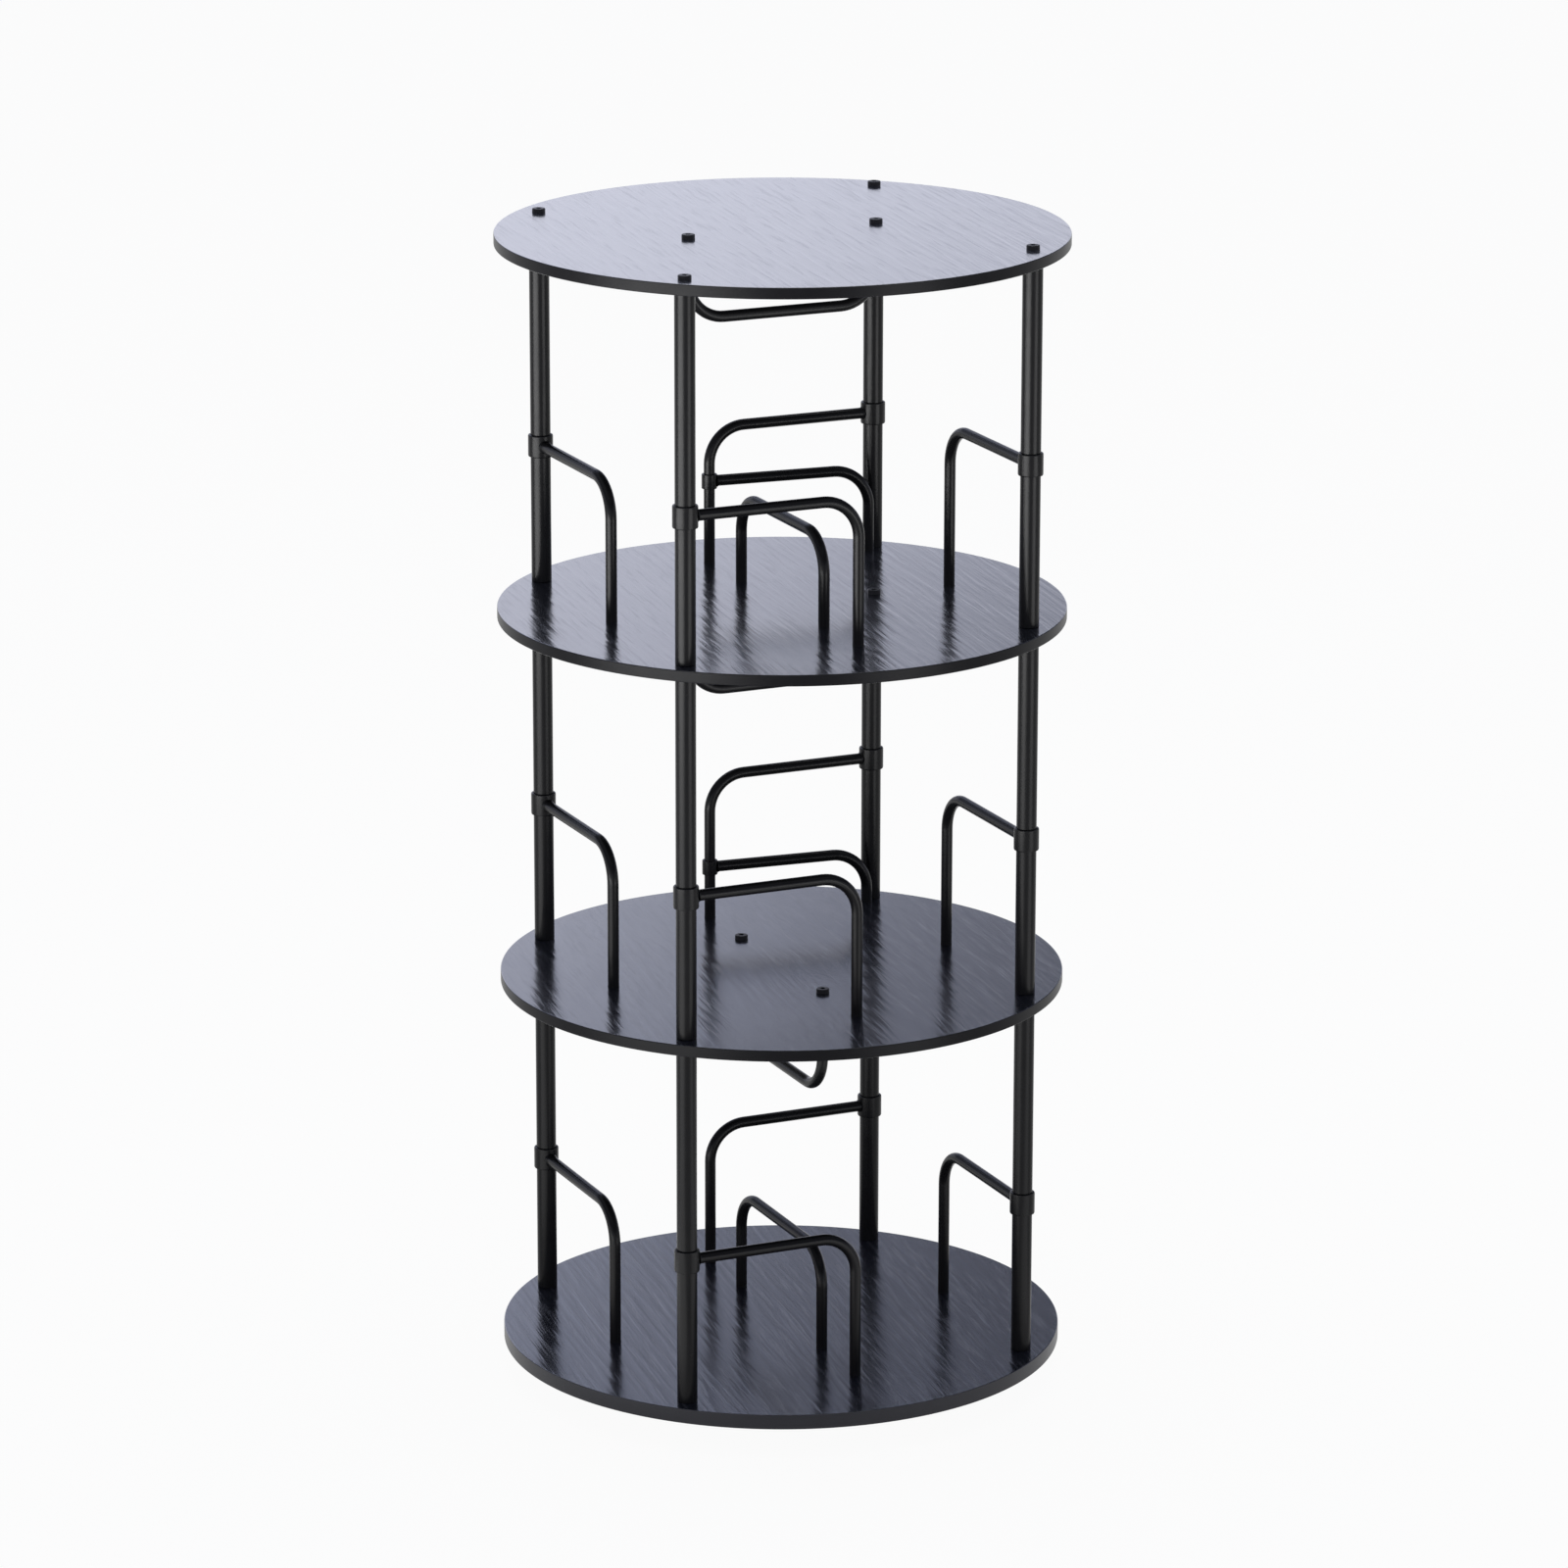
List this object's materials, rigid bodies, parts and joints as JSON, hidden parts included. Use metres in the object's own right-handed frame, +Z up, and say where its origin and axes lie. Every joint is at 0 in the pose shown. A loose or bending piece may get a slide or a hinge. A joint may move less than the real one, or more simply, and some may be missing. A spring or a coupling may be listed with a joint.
{
  "type": "rotating media tower",
  "caption": "Round-shelf media tower with steel posts and bent-rod dividers, turning on a hidden ball-bearing base.",
  "frame": {"origin": "centre of the base pad's underside on the floor, on the axis that the tower turns about", "axes": "+Z up along the turning axis; +X along the upper two hanging dividers, +Y along the standing dividers"},
  "size_m": [0.45, 0.45, 0.9363],
  "materials": {
    "board_laminate": "black laminate with an embossed wood grain, semi-gloss",
    "base_board": "black painted board, matt",
    "black_coat": "black powder coat on steel tube and rod, satin",
    "black_screw": "black oxide steel screws, satin",
    "zinc_steel": "zinc-plated steel",
    "rubber": "black non-slip foam rubber, matt"
  },
  "bodies": {
    "base": {"base_pad": "rubber", "base_disc": "base_board", "bearing_lower_plate": "zinc_steel"},
    "ball_cage": {"bearing_ball_cage": "zinc_steel"},
    "tower": {"bearing_upper_plate": "zinc_steel", "pivot_bolt": "zinc_steel", "pivot_insert": "zinc_steel", "bottom_board": "board_laminate", "lower_shelf": "board_laminate", "upper_shelf": "board_laminate", "top_board": "board_laminate", "lower_post_back_right": "black_coat", "lower_post_back_left": "black_coat", "lower_post_front_left": "black_coat", "lower_post_front_right": "black_coat", "middle_post_back_right": "black_coat", "middle_post_back_left": "black_coat", "middle_post_front_left": "black_coat", "middle_post_front_right": "black_coat", "upper_post_back_right": "black_coat", "upper_post_back_left": "black_coat", "upper_post_front_left": "black_coat", "upper_post_front_right": "black_coat", "lower_arm_back_right": "black_coat", "lower_arm_back_left": "black_coat", "lower_arm_front_left": "black_coat", "lower_arm_front_right": "black_coat", "middle_arm_back_right": "black_coat", "middle_arm_back_left": "black_coat", "middle_arm_front_left": "black_coat", "middle_arm_front_right": "black_coat", "upper_arm_back_right": "black_coat", "upper_arm_back_left": "black_coat", "upper_arm_front_left": "black_coat", "upper_arm_front_right": "black_coat", "middle_back_rail": "black_coat", "upper_back_rail": "black_coat", "lower_standing_divider": "black_coat", "lower_hanging_divider": "black_coat", "middle_hanging_divider": "black_coat", "upper_standing_divider": "black_coat", "upper_hanging_divider": "black_coat", "top_post_screw_back_right": "black_screw", "top_post_screw_back_left": "black_screw", "top_post_screw_front_left": "black_screw", "top_post_screw_front_right": "black_screw", "bottom_post_screw_back_right": "black_screw", "bottom_post_screw_back_left": "black_screw", "bottom_post_screw_front_left": "black_screw", "bottom_post_screw_front_right": "black_screw", "lower_standing_divider_screw_1": "black_screw", "lower_standing_divider_screw_2": "black_screw", "lower_hanging_divider_screw_1": "black_screw", "lower_hanging_divider_screw_2": "black_screw", "middle_hanging_divider_screw_1": "black_screw", "middle_hanging_divider_screw_2": "black_screw", "upper_standing_divider_screw_1": "black_screw", "upper_standing_divider_screw_2": "black_screw", "upper_hanging_divider_screw_1": "black_screw", "upper_hanging_divider_screw_2": "black_screw"}
  },
  "joints": [
    {"name": "tower_spin", "type": "hinge", "parent": "base", "child": "tower", "pos_m": [0, 0, 0.02], "axis": [0, 0, 1], "continuous": true},
    {"name": "cage_spin", "type": "hinge", "parent": "base", "child": "ball_cage", "pos_m": [0, 0, 0.02], "axis": [0, 0, 1], "continuous": true}
  ],
  "couplings": [
    {"joint": "cage_spin", "follows": "tower_spin", "ratio": 0.5}
  ]
}
